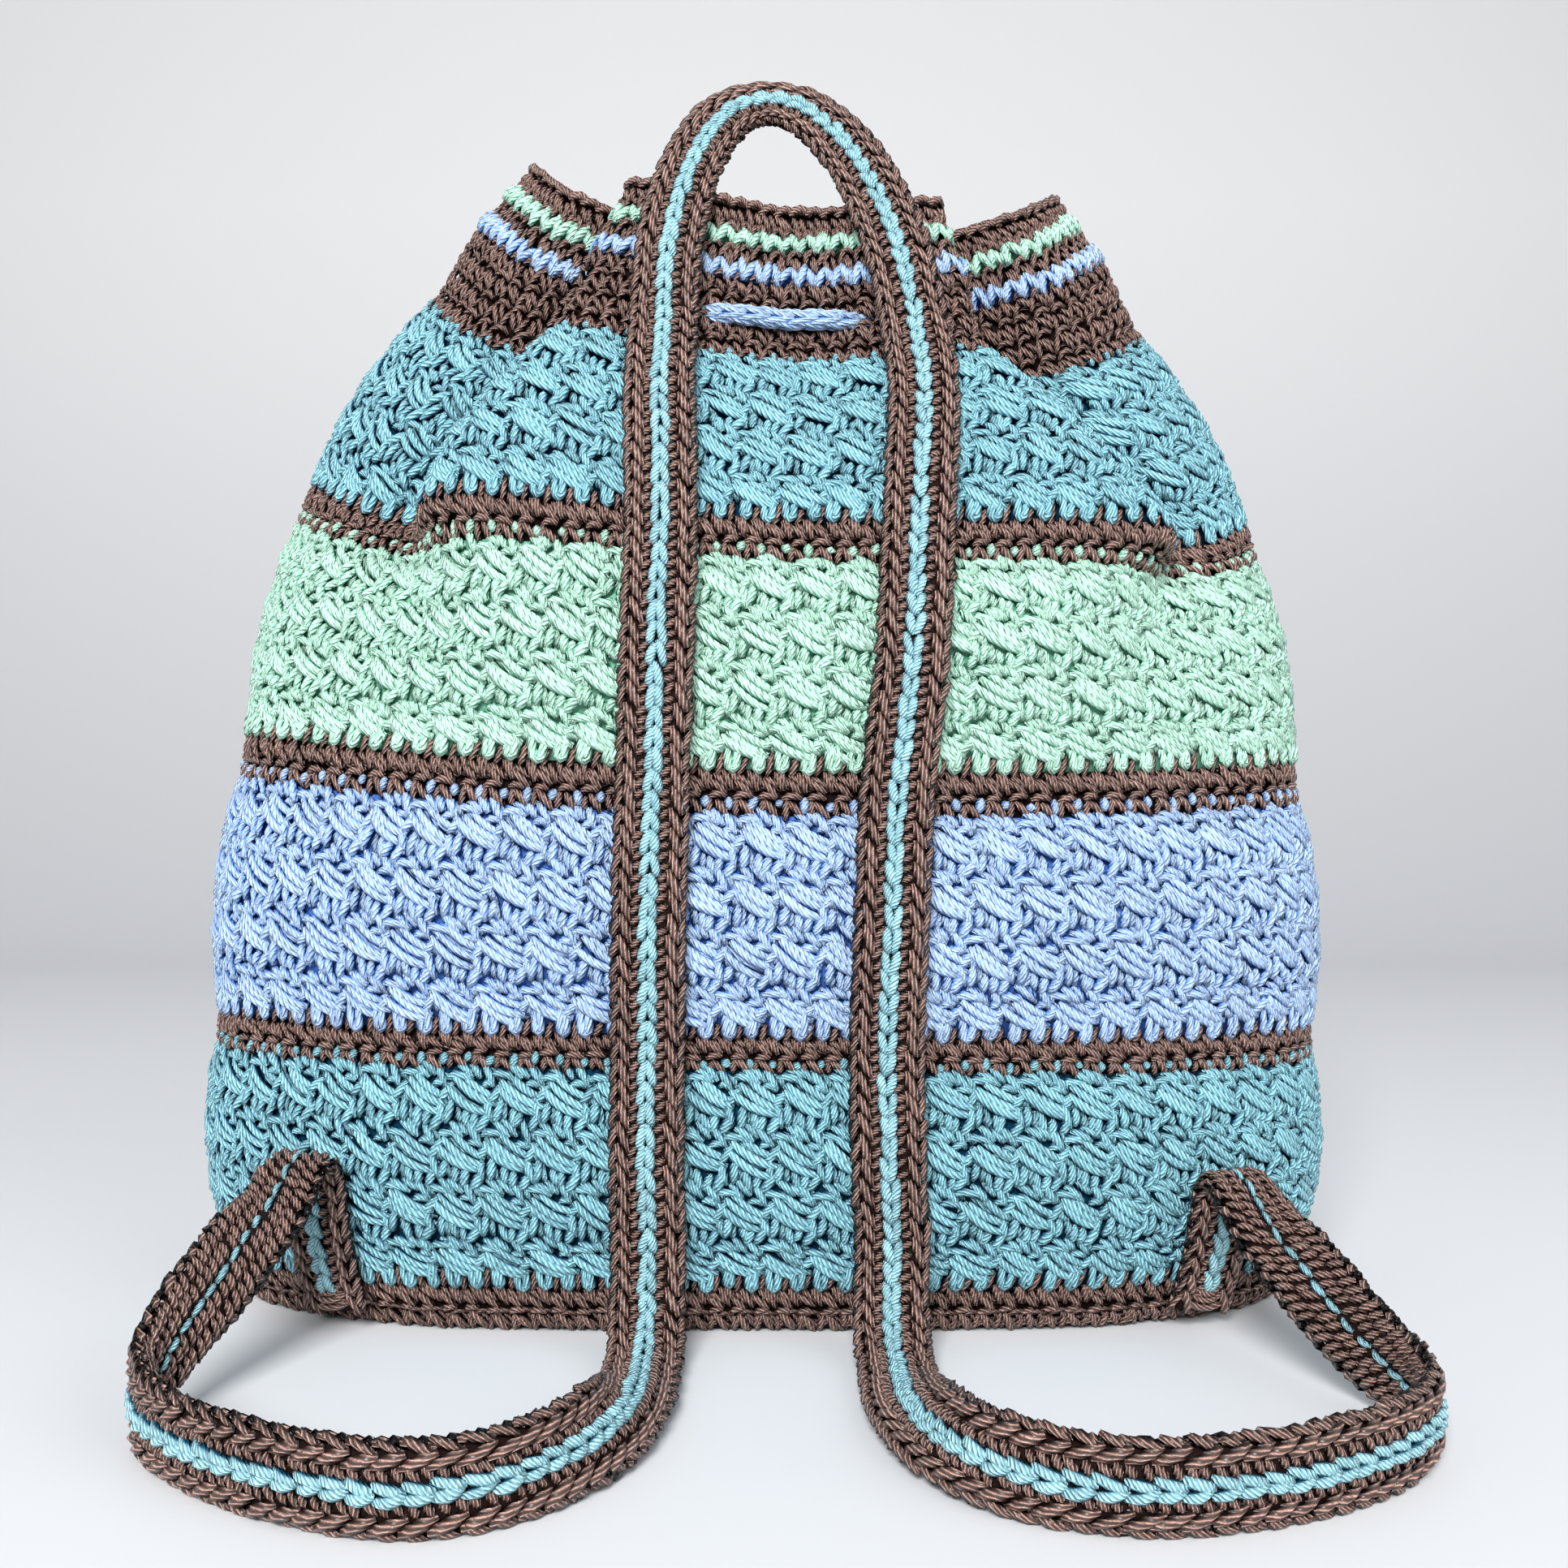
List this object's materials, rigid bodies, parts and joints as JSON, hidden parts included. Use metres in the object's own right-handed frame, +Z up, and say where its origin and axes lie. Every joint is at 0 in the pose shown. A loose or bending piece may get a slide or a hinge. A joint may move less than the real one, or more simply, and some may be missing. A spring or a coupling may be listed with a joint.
{
  "type": "crochet drawstring backpack",
  "caption": "Soft crochet drawstring backpack: striped textured bag on a flat oval base, gathered collar, carry handle and shoulder straps looped out on the floor.",
  "frame": {"origin": "middle of the base where it rests on the floor", "axes": "+Z up, -Y towards the strap side that lies against the wearer, +X to the right when facing that side"},
  "size_m": [0.3079, 0.2488, 0.3287],
  "materials": {
    "brown_yarn": "matte twisted yarn",
    "teal_yarn": "soft sheen twisted yarn",
    "blue_yarn": "soft sheen twisted yarn",
    "mint_yarn": "soft sheen twisted yarn"
  },
  "bodies": {
    "root": {"base_panel": "brown_yarn", "lower_teal_band": "teal_yarn", "lower_brown_stripe": "brown_yarn", "blue_band": "blue_yarn", "middle_brown_stripe": "brown_yarn", "mint_band": "mint_yarn", "upper_brown_stripe": "brown_yarn", "upper_teal_band": "teal_yarn", "collar": "brown_yarn", "collar_blue_round": "blue_yarn", "collar_brown_round": "brown_yarn", "collar_mint_round": "mint_yarn", "mouth_edging": "brown_yarn", "left_shoulder_strap": "brown_yarn", "left_shoulder_strap_chain": "teal_yarn", "right_shoulder_strap": "brown_yarn", "right_shoulder_strap_chain": "teal_yarn", "carry_handle": "brown_yarn", "carry_handle_chain": "teal_yarn", "drawstring": "blue_yarn", "drawstring_left_end": "blue_yarn", "drawstring_left_knot": "blue_yarn", "drawstring_right_end": "blue_yarn", "drawstring_right_knot": "blue_yarn"}
  },
  "joints": []
}
